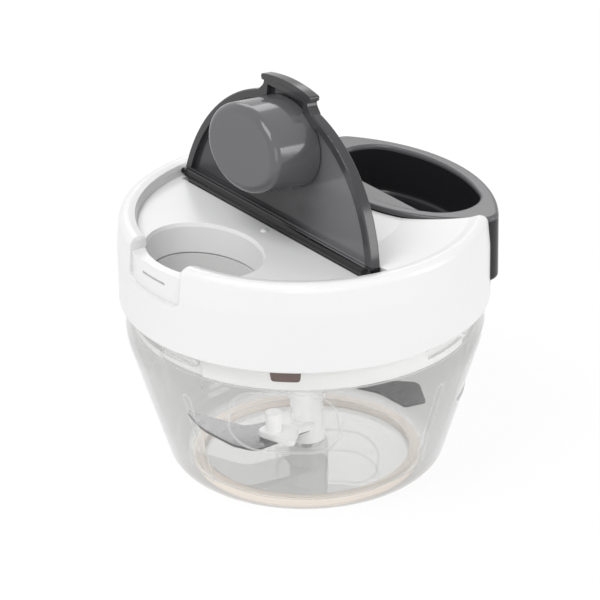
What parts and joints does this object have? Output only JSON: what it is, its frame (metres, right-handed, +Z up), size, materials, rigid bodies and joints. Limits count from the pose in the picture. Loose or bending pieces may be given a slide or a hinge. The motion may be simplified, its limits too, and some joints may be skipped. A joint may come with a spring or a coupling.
{
  "type": "pull-string food chopper",
  "caption": "Hand food chopper: a pull handle on a sprung cord turns stacked blades in a clear bowl under a twist-on lid with a hinged feed flap and plug.",
  "frame": {"origin": "on the bowl's axis, on the plane that the foot ring rests on", "axes": "+Z up along the bowl's axis, +X towards the pull handle, -X towards the feed chute"},
  "size_m": [0.1326, 0.13, 0.1455],
  "materials": {
    "clear_plastic": "clear polished moulding",
    "peach_silicone": "matte translucent silicone",
    "white_plastic": "semi-gloss moulded white plastic",
    "inner_white_plastic": "plain moulded white plastic",
    "hub_plastic": "semi-gloss moulded white plastic",
    "dark_grey_plastic": "glossy dark grey moulding",
    "plug_grey_plastic": "glossy dark grey moulding",
    "brown_plastic": "dark brown insert",
    "acetal_plastic": "slippery white bearing plastic",
    "gasket_silicone": "soft white silicone",
    "blade_steel": "ground stainless steel",
    "pin_steel": "polished stainless steel",
    "spring_steel": "plain steel",
    "bush_brass": "plain brass",
    "cord_fibre": "braided white polyester cord"
  },
  "bodies": {
    "bowl": {"bowl": "clear_plastic", "base_ring": "peach_silicone", "bowl_pivot_pin": "pin_steel"},
    "blades": {"blade_hub": "hub_plastic", "blade_lower": "blade_steel", "blade_middle": "blade_steel", "blade_upper": "blade_steel", "lower_blade_clamp": "hub_plastic", "middle_blade_clamp": "hub_plastic", "upper_blade_clamp": "hub_plastic"},
    "lid_seal": {"lid_gasket": "gasket_silicone"},
    "lid": {"lid_shell": "white_plastic", "lid_base_plate": "inner_white_plastic", "lock_indicator": "brown_plastic", "feed_chute_lower": "inner_white_plastic", "reel_housing": "inner_white_plastic", "reel_cover": "inner_white_plastic", "spring_arbor": "acetal_plastic", "return_spring": "spring_steel", "pull_cord_lead": "cord_fibre", "cord_eyelet": "pin_steel", "shaft_seal": "gasket_silicone", "shaft_bush": "bush_brass", "thrust_washer": "acetal_plastic", "flap_hinge_pins": "pin_steel", "base_plate_screws": "spring_steel", "reel_cover_screws": "spring_steel"},
    "reel": {"reel": "acetal_plastic", "pull_cord_winding": "cord_fibre", "drive_shaft": "acetal_plastic", "drive_socket": "acetal_plastic"},
    "flap": {"flap": "dark_grey_plastic", "flap_plug": "plug_grey_plastic"},
    "handle": {"handle": "dark_grey_plastic", "cord_knot": "cord_fibre"}
  },
  "joints": [
    {"name": "lid_lift", "type": "slide", "parent": "bowl", "child": "lid_seal", "axis": [0, 0, 1], "range_m": [0, 0.1]},
    {"name": "lid_twist", "type": "hinge", "parent": "lid_seal", "child": "lid", "pos_m": [0, 0, 0.0668], "axis": [0, 0, 1], "range_deg": [0, 20]},
    {"name": "flap_hinge", "type": "hinge", "parent": "lid", "child": "flap", "pos_m": [-0.0113, 0, 0.094], "axis": [0, 1, 0], "range_deg": [-96.6, 0]},
    {"name": "handle_pull", "type": "slide", "parent": "lid", "child": "handle", "axis": [1, 0, 0], "range_m": [0, 0.36], "stiffness_N_per_m": 15, "springref_m": -0.08, "deforming": ["pull_cord_lead"]},
    {"name": "reel_spin", "type": "hinge", "parent": "lid", "child": "reel", "pos_m": [0, 0, 0.0715], "axis": [0, 0, 1], "range_deg": [0, 1600], "deforming": ["return_spring"]},
    {"name": "blade_spin", "type": "hinge", "parent": "bowl", "child": "blades", "pos_m": [0, 0, 0.006], "axis": [0, 0, 1], "range_deg": [0, 1600]}
  ],
  "couplings": [
    {"joint": "reel_spin", "follows": "handle_pull", "rad_per_m": 76.923},
    {"joint": "blade_spin", "follows": "handle_pull", "rad_per_m": 76.923}
  ]
}
